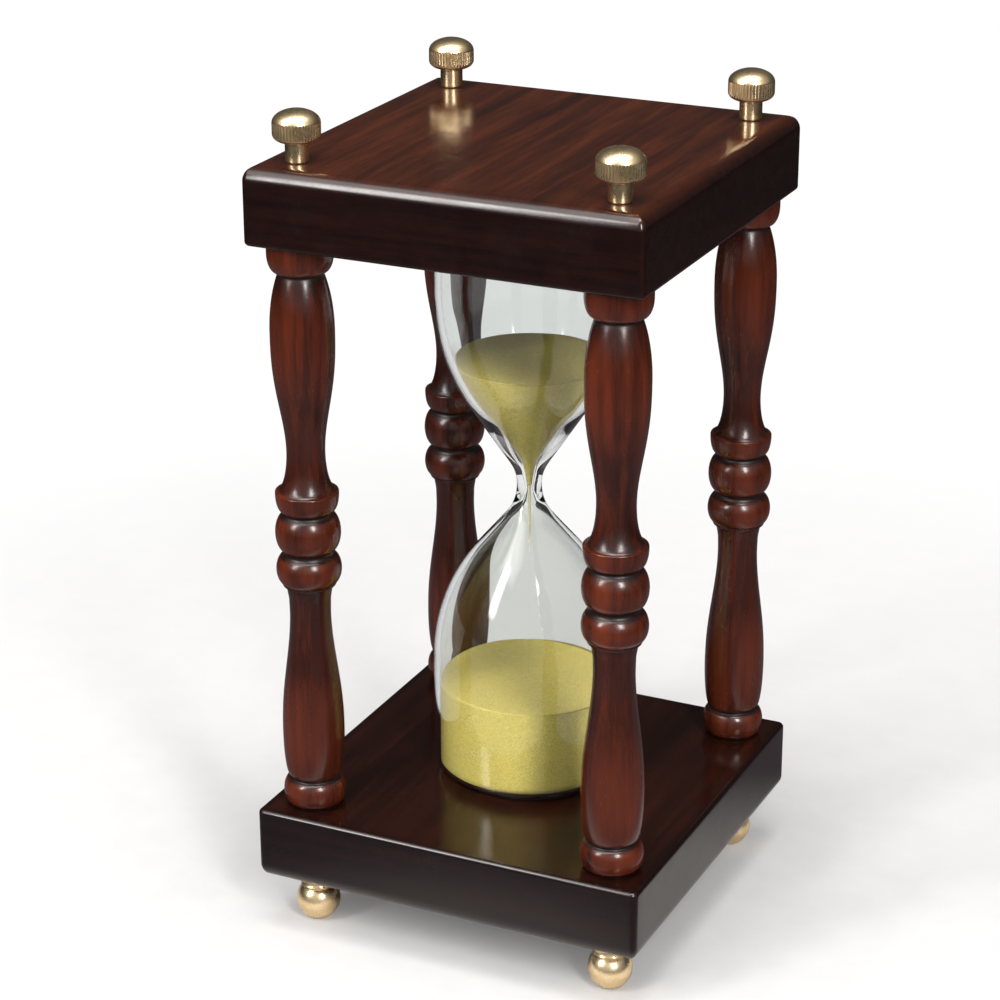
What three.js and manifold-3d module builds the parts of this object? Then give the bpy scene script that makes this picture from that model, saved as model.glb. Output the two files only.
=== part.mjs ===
// Four-column sand timer: two thick square boards held apart by four turned columns, a blown double
// bulb between them, and four tie rods that run from ball feet, through the columns, to knurled nuts.
// Millimetres, +Z up, the floor at z = 0 and the glass on the Z axis. The front faces -Y.
import * as THREE from "three";
import { ConvexGeometry } from "three/addons/geometries/ConvexGeometry.js";
import { mergeVertices } from "three/addons/utils/BufferGeometryUtils.js";
import Module from "manifold-3d";

const wasm = await Module();
wasm.setup();

// Driving dimensions.
const footHeight = 19.1;
const boardThickness = 26;
const boardGap = 200.5; // clear height between the boards, which is the columns' length
const topBoardSide = 137.8;
const baseBoardSide = 140.8;
const rodOffset = 55.4; // from the glass's axis to each rod, along X and along Y

const board = {
  cornerRadius: 2.4, // in plan, at the board's full width
  faceCorner: 0.6, // the same where a round-over has drawn the outline in
  outerEdge: 5, // round-over on the face that looks away from the glass
  innerEdge: 1.5, // round-over on the face that looks at the glass
  sides: 16, // of a full turn at the corners
  outerSteps: 5,
  innerSteps: 2,
  rodHole: 2.4,
  recessDepth: 0.8, // seat for the gasket
};

const rod = { radius: 2, sides: 12, boreClearance: 0.35, endClearance: 1 };

const nut = {
  stemRadius: 3.85,
  headRadius: 7.8,
  stemTop: 6.4,
  knurlBottom: 9.1,
  knurlTop: 12.6,
  height: 17,
  chamfer: 0.3,
  boreDepth: 12,
  sides: 16,
};

const foot = {
  ballRadius: 7.6,
  restRadius: 2.35,
  collarRadius: 5.6,
  chamfer: 0.3,
  boreDepth: 9.5,
  sides: 16,
};

const column = {
  sides: 14,
  bore: 2.5,
  baseCollar: { foot: 8.8, centre: 5.3, widest: 10.75, top: 10.1, neck: 8.3 },
  baseGroove: { radius: 8.15, height: 10.5 },
  lowerFoot: { height: 11, radius: 8.6 },
  lowerVase: { belly: 10.5, bellyHeight: 27.5, waist: 6.9, waistHeight: 71.5, skew: 1.12 },
  step: { height: 81.3, below: 7.85, above: 9.2, rise: 0.2, sag: 0.35 },
  smallBead: { centre: 87.2, radius: 10.95, halfHeight: 5.9, reach: 3 },
  beadGroove: { height: 93.1, radius: 8.4, halfWidth: 0.6 },
  bigBead: { centre: 100.3, radius: 10.95, halfHeight: 7.2, reach: 3.2 },
  bellGroove: { height: 107.6, radius: 8.2, halfWidth: 0.4 },
  bell: { arris: 114, radius: 10.6, reach: 2, lip: 0.8, inset: 0.2 },
  upperVase: { waist: 6.4, waistHeight: 128.5, belly: 10.6, bellyHeight: 170, skew: 1.32 },
  upperNeck: { height: 189.6, taper: 28 },
  topGroove: { height: 190, radius: 7.45 },
  capital: { foot: 190.4, footRadius: 8, shoulder: 196.6, widest: 10.9 },
};

// The vessel's own heights start at its flat bottom. Slopes meet the walls at the stated corners.
const glass = {
  sides: 24,
  lift: 0.7, // of its bottom above the base board
  wall: 1.9,
  end: 2.2, // thickness of the flat ends
  endCorner: 5,
  lowerRadius: 33.2,
  upperRadius: 31.6,
  lowerShoulder: { height: 65.6, round: 64 },
  upperShoulder: { height: 151.5, round: 68 },
  neckRadius: 4.5,
  lowerNeck: { height: 99.5, round: 16 },
  upperNeck: { height: 110.4, round: 12 },
  throat: { radius: 0.9, height: 104.2, round: 6 },
  lowerFunnel: { radius: 2.3, height: 99.2, round: 4, shoulder: 64.9 },
  upperFunnel: { radius: 2, height: 114.6, round: 8, shoulder: 151 },
  fillingHole: 1.6,
};

const sand = { gap: 0.3, upperSurface: 150.9, lowerSurface: 34, tip: 106, tipRadius: 0.45 };
const stream = { radius: 0.5, sides: 8 };
const gasket = { outer: 26, inner: 8, thickness: 1.5, seatGap: 0.5 };
const plug = { stem: 1.3, head: 4, headHeight: 1, reach: 3, sides: 12 };

// Heights of the stack.
const baseTop = footHeight + boardThickness;
const topUnder = baseTop + boardGap;
const topFace = topUnder + boardThickness;
const glassHeight = boardGap - 2 * glass.lift;
const glassBottom = baseTop + glass.lift;

const finishes = {
  board: { color: 0x35140c, roughness: 0.22, metalness: 0 },
  column: { color: 0x4a1c12, roughness: 0.25, metalness: 0 },
  brass: { color: 0xc8a05a, roughness: 0.25, metalness: 1 },
  steel: { color: 0x9a9a98, roughness: 0.4, metalness: 1 },
  glass: { color: 0xdfe8e6, roughness: 0.03, metalness: 0, transparent: true, opacity: 0.35 },
  sand: { color: 0xcdbd5e, roughness: 0.95, metalness: 0 },
  rubber: { color: 0x1c1b1a, roughness: 0.8, metalness: 0 },
  cork: { color: 0xb08a5c, roughness: 0.9, metalness: 0 },
};

const corners = [
  { name: "front_left", x: -rodOffset, y: -rodOffset },
  { name: "front_right", x: rodOffset, y: -rodOffset },
  { name: "back_right", x: rodOffset, y: rodOffset },
  { name: "back_left", x: -rodOffset, y: rodOffset },
];

const hourglass = new THREE.Group();

function addPiece(name, geometry, finish, x = 0, y = 0, z = 0) {
  const mesh = new THREE.Mesh(geometry, new THREE.MeshStandardMaterial(finishes[finish]));
  mesh.name = name;
  mesh.position.set(x, y, z);
  hourglass.add(mesh);
}

// Points of an ellipse's arc, counted in degrees from the outward side towards the top.
function arc(radius, height, reach, rise, from, to, steps) {
  return Array.from({ length: steps + 1 }, (_, i) => {
    const angle = THREE.MathUtils.degToRad(from + ((to - from) * i) / steps);
    return new THREE.Vector2(radius + reach * Math.cos(angle), height + rise * Math.sin(angle));
  });
}

// An S-curve from a vase's belly to its waist: half a cosine wave whose travel is raised to the skew, which
// keeps the belly full.
function swell({ belly, bellyHeight, waist, waistHeight, skew }, steps) {
  return Array.from({ length: steps + 1 }, (_, i) => {
    const along = i / steps;
    const wave = (1 - Math.cos(Math.PI * along ** skew)) / 2;
    return new THREE.Vector2(
      THREE.MathUtils.lerp(belly, waist, wave),
      THREE.MathUtils.lerp(bellyHeight, waistHeight, along),
    );
  });
}

// A polyline whose corners [radius, height, round] are replaced by tangent arcs.
function rounded(outline, steps) {
  const points = [];
  outline.forEach(([radius, height, round = 0], i) => {
    const corner = new THREE.Vector2(radius, height);
    if (!round) {
      points.push(corner);
      return;
    }
    const before = new THREE.Vector2(...outline[i - 1]).sub(corner).normalize();
    const after = new THREE.Vector2(...outline[i + 1]).sub(corner).normalize();
    const half = Math.acos(before.dot(after)) / 2;
    const centre = before.clone().add(after).normalize().multiplyScalar(round / Math.sin(half)).add(corner);
    const start = before.clone().multiplyScalar(round / Math.tan(half)).add(corner).sub(centre);
    const end = after.clone().multiplyScalar(round / Math.tan(half)).add(corner).sub(centre);
    const turn = Math.atan2(start.cross(end), start.dot(end));
    for (let k = 0; k <= steps; k++) {
      points.push(start.clone().rotateAround(new THREE.Vector2(), (turn * k) / steps).add(centre));
    }
  });
  return points;
}

// The stretch of a rising outline that lies below a height, ending exactly on it.
function upTo(outline, height) {
  const next = outline.findIndex((point) => point.y >= height);
  const last = outline[next - 1].clone();
  last.lerp(outline[next], (height - last.y) / (outline[next].y - last.y));
  return [...outline.slice(0, next), last];
}

// Turns an outline of [radius, height] points about the Z axis.
function turned(outline, sides) {
  return new THREE.LatheGeometry(outline, sides).rotateX(Math.PI / 2);
}

function at(radius, height) {
  return new THREE.Vector2(radius, height);
}

function solidOf(geometry) {
  const bare = geometry.clone();
  bare.deleteAttribute("normal");
  bare.deleteAttribute("uv");
  const merged = mergeVertices(bare, 1e-3);
  const vertProperties = new Float32Array(merged.attributes.position.array);
  const triVerts = new Uint32Array(merged.index.array);
  return new wasm.Manifold(new wasm.Mesh({ numProp: 3, vertProperties, triVerts }));
}

function geometryOf(solid) {
  const mesh = solid.getMesh();
  const geometry = new THREE.BufferGeometry();
  geometry.setAttribute("position", new THREE.BufferAttribute(mesh.vertProperties, 3));
  geometry.setIndex(new THREE.BufferAttribute(mesh.triVerts, 1));
  geometry.computeVertexNormals();
  return geometry;
}

function cylinder(radius, from, to, sides) {
  const shape = new THREE.CylinderGeometry(radius, radius, to - from, sides);
  return shape.rotateX(Math.PI / 2).translate(0, 0, (from + to) / 2);
}

// A square board with its outer face at z = 0 and the inner one at z = boardThickness: the hull of its
// outlines at each height of the two round-overs. The gasket's seat and the rod holes are cut out.
function boardSolid(side) {
  const { outerEdge, innerEdge } = board;
  const profile = [
    ...arc(-outerEdge, outerEdge, outerEdge, outerEdge, -90, 0, board.outerSteps),
    ...arc(-innerEdge, boardThickness - innerEdge, innerEdge, innerEdge, 0, 90, board.innerSteps),
  ];
  const hullPoints = [];
  for (const level of profile) {
    const bend = Math.max(board.faceCorner, board.cornerRadius + level.x);
    const reach = side / 2 + level.x - bend;
    for (const corner of corners) {
      for (let i = 0; i < board.sides; i++) {
        const turn = (2 * Math.PI * i) / board.sides;
        const x = Math.sign(corner.x) * reach + bend * Math.cos(turn);
        const y = Math.sign(corner.y) * reach + bend * Math.sin(turn);
        hullPoints.push(new THREE.Vector3(x, y, level.y));
      }
    }
  }
  let solid = solidOf(new ConvexGeometry(hullPoints));
  const seatRadius = gasket.outer + gasket.seatGap;
  const seat = cylinder(seatRadius, boardThickness - board.recessDepth, boardThickness + 1, glass.sides);
  solid = solid.subtract(solidOf(seat));
  for (const corner of corners) {
    const hole = cylinder(board.rodHole, -1, boardThickness + 1, rod.sides).translate(corner.x, corner.y, 0);
    solid = solid.subtract(solidOf(hole));
  }
  return solid;
}

function buildBoards() {
  addPiece("base_board", geometryOf(boardSolid(baseBoardSide)), "board", 0, 0, footHeight);
  const flipped = geometryOf(boardSolid(topBoardSide)).rotateX(Math.PI);
  addPiece("top_board", flipped, "board", 0, 0, topFace);
}

// A turned bead between two grooves, cut off at an angle above and below its middle.
function bead({ centre, radius, halfHeight, reach }, grooveHalfWidth, angle) {
  return arc(radius - reach, centre, reach, halfHeight - grooveHalfWidth, -angle, angle, 4);
}

// The turned outline, from the base board up: collar, lower vase, two beads, bell, upper vase, capital.
function columnOutline() {
  const { baseCollar, baseGroove, lowerFoot, lowerVase, step, smallBead, beadGroove } = column;
  const { bigBead, bellGroove, bell, upperVase, upperNeck, topGroove, capital } = column;
  const collarRise = baseCollar.top - baseCollar.centre;
  const footReach = lowerVase.belly - lowerFoot.radius;
  const footRise = lowerVase.bellyHeight - lowerFoot.height;
  const bellRise = bell.arris - bellGroove.height - bellGroove.halfWidth;
  const flareRise = upperVase.waistHeight - bell.arris - bell.lip;
  const flareTop = bell.radius - bell.inset;
  const capitalRise = capital.shoulder - capital.foot;
  const taperShare = (upperNeck.height - upperVase.bellyHeight) / upperNeck.taper;
  const taperEnd = THREE.MathUtils.radToDeg(Math.asin(taperShare));
  return [
    at(column.bore, 0),
    at(baseCollar.foot, 0),
    ...arc(baseCollar.neck, baseCollar.centre, baseCollar.widest - baseCollar.neck, collarRise, -75, 90, 5),
    at(baseGroove.radius, baseGroove.height),
    ...arc(lowerFoot.radius, lowerVase.bellyHeight, footReach, footRise, -90, 0, 3),
    ...swell(lowerVase, 6).slice(1),
    at((lowerVase.waist + step.below) / 2 - step.sag, (lowerVase.waistHeight + step.height) / 2),
    at(step.below, step.height),
    at(step.above, step.height + step.rise),
    ...bead(smallBead, beadGroove.halfWidth, 60),
    at(beadGroove.radius, beadGroove.height),
    ...bead(bigBead, beadGroove.halfWidth, 65),
    at(bellGroove.radius, bellGroove.height),
    ...arc(bell.radius - bell.reach, bell.arris, bell.reach, bellRise, -70, 0, 3),
    ...arc(flareTop, upperVase.waistHeight, flareTop - upperVase.waist, flareRise, 270, 180, 4),
    ...swell(upperVase, 6).reverse().slice(1),
    ...arc(0, upperVase.bellyHeight, upperVase.belly, upperNeck.taper, 0, taperEnd, 4).slice(1),
    at(topGroove.radius, topGroove.height),
    ...arc(capital.footRadius, capital.shoulder, capital.widest - capital.footRadius, capitalRise, -90, 0, 4),
    at(capital.widest, boardGap),
    at(column.bore, boardGap),
    at(column.bore, 0),
  ];
}

function buildColumns() {
  const geometry = turned(columnOutline(), column.sides);
  for (const corner of corners) {
    addPiece(`column_${corner.name}`, geometry, "column", corner.x, corner.y, baseTop);
  }
}

function buildRods() {
  const from = footHeight - foot.boreDepth + rod.endClearance;
  const to = topFace + nut.boreDepth - rod.endClearance;
  const geometry = cylinder(rod.radius, from, to, rod.sides);
  for (const corner of corners) {
    addPiece(`tie_rod_${corner.name}`, geometry, "steel", corner.x, corner.y);
  }
}

function buildNuts() {
  const bore = rod.radius + rod.boreClearance;
  const overhang = nut.headRadius - nut.stemRadius;
  const outline = [
    at(0, nut.boreDepth),
    at(bore, nut.boreDepth),
    at(bore, 0),
    at(nut.stemRadius - nut.chamfer, 0),
    at(nut.stemRadius, nut.chamfer),
    ...arc(nut.stemRadius, nut.knurlBottom, overhang, nut.knurlBottom - nut.stemTop, -90, 0, 3),
    ...arc(0, nut.knurlTop, nut.headRadius, nut.height - nut.knurlTop, 0, 90, 5),
  ];
  const geometry = turned(outline, nut.sides);
  for (const corner of corners) {
    addPiece(`thumb_nut_${corner.name}`, geometry, "brass", corner.x, corner.y, topFace);
  }
}

function buildFeet() {
  const bore = rod.radius + rod.boreClearance;
  const rest = THREE.MathUtils.radToDeg(Math.acos(foot.restRadius / foot.ballRadius));
  const neck = THREE.MathUtils.radToDeg(Math.acos(foot.collarRadius / foot.ballRadius));
  const centre = Math.sqrt(foot.ballRadius ** 2 - foot.restRadius ** 2);
  const outline = [
    at(0, 0),
    ...arc(0, centre, foot.ballRadius, foot.ballRadius, -rest, neck, 8),
    at(foot.collarRadius, footHeight - foot.chamfer),
    at(foot.collarRadius - foot.chamfer, footHeight),
    at(bore, footHeight),
    at(bore, footHeight - foot.boreDepth),
    at(0, footHeight - foot.boreDepth),
  ];
  const geometry = turned(outline, foot.sides);
  for (const corner of corners) {
    addPiece(`ball_foot_${corner.name}`, geometry, "brass", corner.x, corner.y);
  }
}

// The cavity's outline from the bottom up, drawn in by a margin.
function cavity(margin) {
  const { lowerFunnel, upperFunnel, throat, lowerShoulder, upperShoulder } = glass;
  const lower = glass.lowerRadius - glass.wall - margin;
  const upper = glass.upperRadius - glass.wall - margin;
  const innerCorner = glass.endCorner - glass.wall - margin;
  return rounded(
    [
      [0, glass.end + margin],
      [lower, glass.end + margin, innerCorner],
      [lower, lowerFunnel.shoulder, lowerShoulder.round - glass.wall],
      [lowerFunnel.radius - margin, lowerFunnel.height, lowerFunnel.round],
      [throat.radius - margin, throat.height, throat.round],
      [upperFunnel.radius - margin, upperFunnel.height, upperFunnel.round],
      [upper, upperFunnel.shoulder, upperShoulder.round - glass.wall],
      [upper, glassHeight - glass.end - margin, innerCorner],
      [glass.fillingHole, glassHeight - glass.end - margin],
    ],
    3,
  );
}

function buildGlass() {
  const outside = rounded(
    [
      [0, 0],
      [glass.lowerRadius, 0, glass.endCorner],
      [glass.lowerRadius, glass.lowerShoulder.height, glass.lowerShoulder.round],
      [glass.neckRadius, glass.lowerNeck.height, glass.lowerNeck.round],
      [glass.neckRadius, glass.upperNeck.height, glass.upperNeck.round],
      [glass.upperRadius, glass.upperShoulder.height, glass.upperShoulder.round],
      [glass.upperRadius, glassHeight, glass.endCorner],
      [glass.fillingHole, glassHeight],
    ],
    4,
  );
  const outline = [...outside, ...cavity(0).reverse()];
  addPiece("glass_vessel", turned(outline, glass.sides), "glass", 0, 0, glassBottom);

  const inside = glassHeight - plug.reach;
  const plugOutline = [
    at(0, inside),
    at(plug.stem, inside),
    at(plug.stem, glassHeight),
    at(plug.head, glassHeight),
    at(plug.head, glassHeight + plug.headHeight),
    at(0, glassHeight + plug.headHeight),
  ];
  addPiece("filling_plug", turned(plugOutline, plug.sides), "cork", 0, 0, glassBottom);
}

function buildSand() {
  const bed = cavity(sand.gap);
  const lower = [...upTo(bed, sand.lowerSurface), at(0, sand.lowerSurface)];
  addPiece("sand_lower", turned(lower, glass.sides), "sand", 0, 0, glassBottom);

  const funnel = upTo(bed, sand.upperSurface).filter((point) => point.y > sand.tip);
  const upper = [at(0, sand.tip), at(sand.tipRadius, sand.tip), ...funnel, at(0, sand.upperSurface)];
  addPiece("sand_upper", turned(upper, glass.sides), "sand", 0, 0, glassBottom);

  const falling = cylinder(stream.radius, sand.lowerSurface + sand.gap, sand.tip - sand.gap, stream.sides);
  addPiece("sand_stream", falling, "sand", 0, 0, glassBottom);
}

function buildGaskets() {
  const outline = [
    at(gasket.inner, 0),
    at(gasket.outer, 0),
    at(gasket.outer, gasket.thickness),
    at(gasket.inner, gasket.thickness),
    at(gasket.inner, 0),
  ];
  const geometry = turned(outline, glass.sides);
  addPiece("lower_gasket", geometry, "rubber", 0, 0, baseTop - board.recessDepth);
  addPiece("upper_gasket", geometry, "rubber", 0, 0, topUnder + board.recessDepth - gasket.thickness);
}

buildBoards();
buildColumns();
buildRods();
buildNuts();
buildFeet();
buildGlass();
buildSand();
buildGaskets();

export default hourglass;
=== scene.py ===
import math

import bpy
import numpy as np
from mathutils import Euler, Matrix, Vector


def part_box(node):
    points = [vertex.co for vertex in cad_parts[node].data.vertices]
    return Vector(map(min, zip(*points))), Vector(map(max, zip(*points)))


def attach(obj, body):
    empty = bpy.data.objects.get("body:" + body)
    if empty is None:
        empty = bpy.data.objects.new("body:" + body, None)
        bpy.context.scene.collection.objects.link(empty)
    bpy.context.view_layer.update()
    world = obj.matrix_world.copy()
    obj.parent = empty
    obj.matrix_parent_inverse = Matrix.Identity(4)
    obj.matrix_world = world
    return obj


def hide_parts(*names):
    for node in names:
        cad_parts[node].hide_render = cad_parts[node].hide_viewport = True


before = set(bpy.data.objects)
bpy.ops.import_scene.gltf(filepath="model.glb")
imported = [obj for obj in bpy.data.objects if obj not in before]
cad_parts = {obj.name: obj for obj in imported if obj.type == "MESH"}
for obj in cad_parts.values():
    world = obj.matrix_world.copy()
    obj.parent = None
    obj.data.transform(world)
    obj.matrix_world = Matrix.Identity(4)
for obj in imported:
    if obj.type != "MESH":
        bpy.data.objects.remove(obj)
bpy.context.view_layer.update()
print("loaded", len(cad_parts), "nodes")

mm = 0.001
samePlace = 1e-6
corners = ("front_left", "front_right", "back_right", "back_left")
rng = np.random.default_rng(11)


def nodeBox(name):
    # lowest and highest corner of a CAD node, in millimetres
    low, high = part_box(name)
    return np.array(low) / mm, np.array(high) / mm


def arc(radius, height, reach, rise, start, end, steps=24):
    # points of an ellipse's arc, counted in degrees from the outward side towards the top
    angle = np.radians(np.linspace(start, end, steps + 1))
    return np.stack([radius + reach * np.cos(angle), height + rise * np.sin(angle)], axis=1)


def swell(belly, bellyHeight, waist, waistHeight, skew, steps=60):
    # half a cosine wave from belly to waist, its travel raised to the skew so that the belly stays full
    along = np.linspace(0, 1, steps + 1)
    wave = (1 - np.cos(np.pi * along ** skew)) / 2
    radius = belly + (waist - belly) * wave
    return np.stack([radius, bellyHeight + (waistHeight - bellyHeight) * along], axis=1)


def rounded(turns, steps=24):
    # a polyline whose turns (radius, height, round) give way to arcs that touch both of their sides
    points = []
    for i, (radius, height, roundness) in enumerate(turns):
        corner = np.array([radius, height], float)
        if not roundness:
            points.append(corner[None])
            continue
        before = np.array(turns[i - 1][:2]) - corner
        after = np.array(turns[i + 1][:2]) - corner
        before /= np.linalg.norm(before)
        after /= np.linalg.norm(after)
        half = math.acos(np.dot(before, after)) / 2
        middle = (before + after) / np.linalg.norm(before + after)
        centre = corner + middle * roundness / math.sin(half)
        start = corner + before * roundness / math.tan(half) - centre
        end = corner + after * roundness / math.tan(half) - centre
        sweep = math.atan2(start[0] * end[1] - start[1] * end[0], np.dot(start, end))
        angle = np.linspace(0, sweep, steps + 1)
        points.append(np.stack([
            centre[0] + start[0] * np.cos(angle) - start[1] * np.sin(angle),
            centre[1] + start[0] * np.sin(angle) + start[1] * np.cos(angle),
        ], axis=1))
    return np.concatenate(points)


def softened(outline, spacing, blur):
    # even steps along the outline, then a sliding average that rounds each arris by about the blur;
    # the outline is carried on past its two ends by turning it about them, so that they stay put
    steps = np.hypot(*np.diff(outline, axis=0).T)
    outline = outline[np.concatenate([[True], steps > samePlace])]
    travel = np.concatenate([[0], np.cumsum(np.hypot(*np.diff(outline, axis=0).T))])
    even = np.linspace(0, travel[-1], int(travel[-1] / spacing) + 1)
    points = np.stack([np.interp(even, travel, outline[:, k]) for k in (0, 1)], axis=1)
    reach = max(1, round(blur / spacing))
    weights = np.hanning(2 * reach + 3)[1:-1]
    weights /= weights.sum()
    before = 2 * points[0] - points[1:reach + 1][::-1]
    after = 2 * points[-1] - points[-reach - 1:-1][::-1]
    longer = np.concatenate([before, points, after])
    return np.stack([np.convolve(longer[:, k], weights, mode="valid") for k in (0, 1)], axis=1)


def hollows(outline, spacing, reach):
    # how far the outline lies inside its own average over the reach: above 0 in a groove, below on a bead
    count = max(1, round(reach / spacing))
    longer = np.pad(outline[:, 0], count, mode="edge")
    average = np.convolve(longer, np.ones(2 * count + 1) / (2 * count + 1), mode="valid")
    return average - outline[:, 0]


def around(sides):
    # one row of angles, evenly spaced round a full turn
    return np.linspace(0, 2 * np.pi, sides, endpoint=False)[None]


def turned(outline, sides, centre, lift, ripple=None):
    # the outline carried round a vertical axis; ripple is added to the radius, a value per row and side
    angle = around(sides)
    radius = outline[:, :1] + (0 if ripple is None else ripple)
    x = centre[0] + radius * np.cos(angle)
    y = centre[1] + radius * np.sin(angle)
    z = lift + outline[:, 1:] + 0 * angle
    return np.stack([x, y, z], axis=-1)


def skin(name, points, material, body, nodes, loop=False, place=None, hollow=None):
    # a closed skin over a grid: rows follow the profile and columns go round. A looped profile joins its
    # last row to its first; any other starts and ends in a pole, one vertex with a fan round it
    rows, sides = points.shape[:2]
    index = np.arange(rows * sides).reshape(rows, sides)
    kept = np.ones(rows * sides, bool)
    fans = []
    if loop:
        lower, upper = index, np.roll(index, -1, axis=0)
    else:
        lower, upper = index[1:-2], index[2:-1]
        first, last = index[1], index[-2]
        bottom, top = np.full(sides, index[0, 0]), np.full(sides, index[-1, 0])
        fans = [np.stack([bottom, np.roll(first, -1), first], axis=-1),
                np.stack([top, last, np.roll(last, -1)], axis=-1)]
        kept[index[0, 1:]] = False
        kept[index[-1, 1:]] = False
    quads = np.stack([lower, np.roll(lower, -1, axis=1), np.roll(upper, -1, axis=1), upper], axis=-1)
    renumber = np.cumsum(kept) - 1
    faces = renumber[quads.reshape(-1, 4)].tolist()
    for fan in fans:
        faces += renumber[fan].tolist()
    place = points if place is None else place
    hollow = np.zeros((rows, sides)) if hollow is None else hollow + np.zeros((rows, sides))

    mesh = bpy.data.meshes.new(name)
    mesh.from_pydata((points.reshape(-1, 3)[kept] * mm).tolist(), [], faces)
    mesh.polygons.foreach_set("use_smooth", np.ones(len(mesh.polygons), bool))
    grain = mesh.attributes.new("grainPlace", "FLOAT_VECTOR", "POINT")
    grain.data.foreach_set("vector", place.reshape(-1, 3)[kept].astype(np.float32).ravel())
    shade = mesh.attributes.new("hollow", "FLOAT", "POINT")
    shade.data.foreach_set("value", hollow.ravel()[kept].astype(np.float32))
    mesh.materials.append(material)
    mesh.update()
    piece = bpy.data.objects.new(name, mesh)
    bpy.context.scene.collection.objects.link(piece)
    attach(piece, body)
    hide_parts(*nodes)


class Wire:
    # one socket; arithmetic on it adds Math nodes
    def __init__(self, graph, socket):
        self.graph, self.socket = graph, socket

    def __add__(self, other):
        return self.graph.math("ADD", self, other)

    def __sub__(self, other):
        return self.graph.math("SUBTRACT", self, other)

    def __rsub__(self, other):
        return self.graph.math("SUBTRACT", other, self)

    def __mul__(self, other):
        return self.graph.math("MULTIPLY", self, other)

    __radd__ = __add__
    __rmul__ = __mul__


class Graph:
    # a material's nodes, added one call at a time
    def __init__(self, name):
        self.material = bpy.data.materials.new(name)
        self.material.use_nodes = True
        self.tree = self.material.node_tree
        self.tree.nodes.clear()

    @classmethod
    def over(cls, tree):
        # a graph on a tree that already exists, such as the world's
        graph = cls.__new__(cls)
        graph.tree = tree
        tree.nodes.clear()
        return graph

    def node(self, kind, settings=None, inputs=None, output=0):
        made = self.tree.nodes.new(kind)
        for key, value in (settings or {}).items():
            setattr(made, key, value)
        for key, value in (inputs or {}).items():
            socket = made.inputs[key]
            if isinstance(value, Wire):
                self.tree.links.new(value.socket, socket)
            elif isinstance(value, tuple) and len(value) == 3 and socket.type == "RGBA":
                socket.default_value = (*value, 1)
            else:
                socket.default_value = value
        return Wire(self, made.outputs[output]) if len(made.outputs) else None

    def math(self, operation, *values):
        return self.node("ShaderNodeMath", {"operation": operation}, dict(enumerate(values)))

    def vector(self, operation, *values, output=0):
        return self.node("ShaderNodeVectorMath", {"operation": operation}, dict(enumerate(values)), output)

    def mix(self, share, first, second):
        return self.node("ShaderNodeMix", {"data_type": "RGBA"}, {0: share, 6: first, 7: second}, 2)

    def held(self, value, low, high, start=0.0, end=1.0):
        # a value between low and high spread over start to end and kept inside them
        return self.node("ShaderNodeMapRange", None, {
            "Value": value, "From Min": low, "From Max": high, "To Min": start, "To Max": end,
        })

    def noise(self, place, scale, detail=2.0, roughness=0.5, distortion=0.0):
        return self.node("ShaderNodeTexNoise", None, {
            "Vector": place, "Scale": scale, "Detail": detail, "Roughness": roughness,
            "Distortion": distortion,
        })

    def part(self, vector, axis):
        # one coordinate of a vector
        return self.node("ShaderNodeSeparateXYZ", None, {"Vector": vector}, axis)

    def bump(self, height):
        # a normal from a height in millimetres
        return self.node("ShaderNodeBump", None, {"Height": height, "Strength": 1.0, "Distance": mm})

    def attribute(self, name, output):
        return self.node("ShaderNodeAttribute", {"attribute_name": name}, None, output)

    def finish(self, shader):
        self.node("ShaderNodeOutputMaterial", None, {"Surface": shader})
        return self.material


def woodMaterial(name, look):
    # stained wood: figure and streaks along the grain, pores, painted shade in hollows and on the boards'
    # sides, worn high places
    graph = Graph(name)
    place = graph.attribute("grainPlace", "Vector")
    hollow = graph.attribute("hollow", "Fac")
    along = graph.vector("MULTIPLY", place, look["stretch"])
    bend = graph.noise(place, look["bend"], 2)
    figure = graph.noise(along, look["figure"], 4, 0.6, 0.9)
    streak = graph.noise(along, look["streak"], 3, 0.65, 0.3)
    pores = graph.held(graph.noise(along, look["pores"], 2, 0.6), *look["poreSpan"])
    blotch = graph.noise(place, look["blotch"], 2, 0.5)
    figureShare, streakShare, blotchShare, bendShare = look["shares"]
    tone = figure * figureShare + streak * streakShare + blotch * blotchShare + bend * bendShare
    colour = graph.mix(graph.held(tone, *look["toneSpan"]), look["dark"], look["light"])
    redness = graph.held(streak, *look["redSpan"])
    colour = graph.mix(redness * look["redShare"], colour, look["red"])
    colour = graph.mix(pores * look["poreShare"], colour, look["pore"])
    # painted shade: where the hollow value is high (the columns' grooves, the boards' sides) the colour is
    # darkened towards the near-black groove and endGrainShade colours, patterned by end grain
    across = graph.noise(graph.vector("MULTIPLY", place, look["endStreak"]), look["endGrain"], 3, 0.6)
    deep = graph.mix(graph.held(across, *look["endSpan"]), look["groove"], look["endGrainShade"])
    groove = graph.held(hollow, look["hollowFrom"], look["hollowDepth"])
    colour = graph.mix(groove * look["shadeShare"], colour, deep)
    patches = graph.held(graph.noise(along, look["blotch"] * 3, 4, 0.62), *look["patchSpan"])
    high = graph.held(hollow * -1, *look["highSpan"])
    colour = graph.mix(high * patches * look["wear"], colour, look["worn"])
    smudge = graph.noise(place, look["smudge"], 4, 0.6)
    polish = graph.held(smudge, 0.3, 0.75, look["gloss"], look["gloss"] + look["smear"])
    roughness = polish + pores * look["poreGloss"] + groove * look["grooveGloss"]
    height = graph.noise(place, look["ripple"], 2, 0.5) * look["wave"] - pores * look["poreDepth"]
    return graph.finish(graph.node("ShaderNodeBsdfPrincipled", None, {
        "Base Color": colour, "Roughness": roughness, "IOR": look["ior"], "Normal": graph.bump(height),
    }))


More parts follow.
